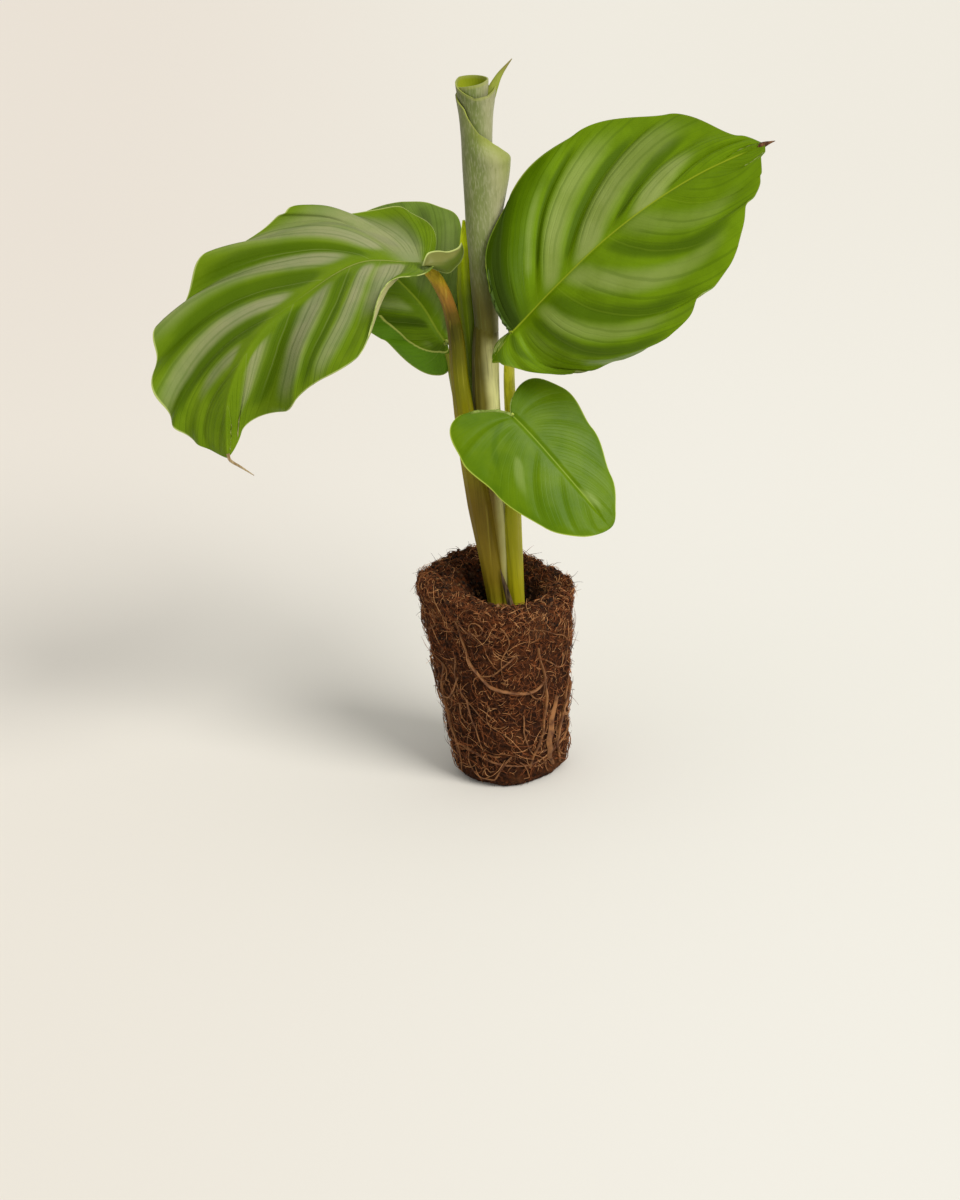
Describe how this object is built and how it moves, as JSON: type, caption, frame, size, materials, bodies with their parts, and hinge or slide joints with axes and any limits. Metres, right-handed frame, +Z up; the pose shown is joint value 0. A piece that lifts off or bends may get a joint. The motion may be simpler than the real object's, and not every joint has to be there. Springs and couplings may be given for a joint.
{
  "type": "calathea orbifolia plug plant",
  "caption": "Young prayer plant with broad banded leaves on slim petioles and one rolled leaf, growing in a tapered coir root plug that stands on its flat foot.",
  "frame": {"origin": "centre of the plug's flat foot", "axes": "+Z up along the plug and the stems, -Y towards the viewer of the picture, +X to the viewer's right"},
  "size_m": [0.1423, 0.0783, 0.1682],
  "materials": {
    "coir": "rough",
    "root": "rough",
    "blade": "satin",
    "petiole": "satin",
    "stalk": "satin",
    "rolled": "satin",
    "dry": "rough"
  },
  "bodies": {
    "root": {"root_plug": "coir", "surface_roots": "root", "leaf_left": "blade", "leaf_right": "blade", "leaf_small": "blade", "leaf_back": "blade", "rolled_leaf": "rolled", "petiole_left": "petiole", "petiole_right": "petiole", "petiole_small": "petiole", "petiole_back": "petiole", "stalk": "stalk", "shoot": "petiole", "dry_bract": "dry"}
  },
  "joints": []
}
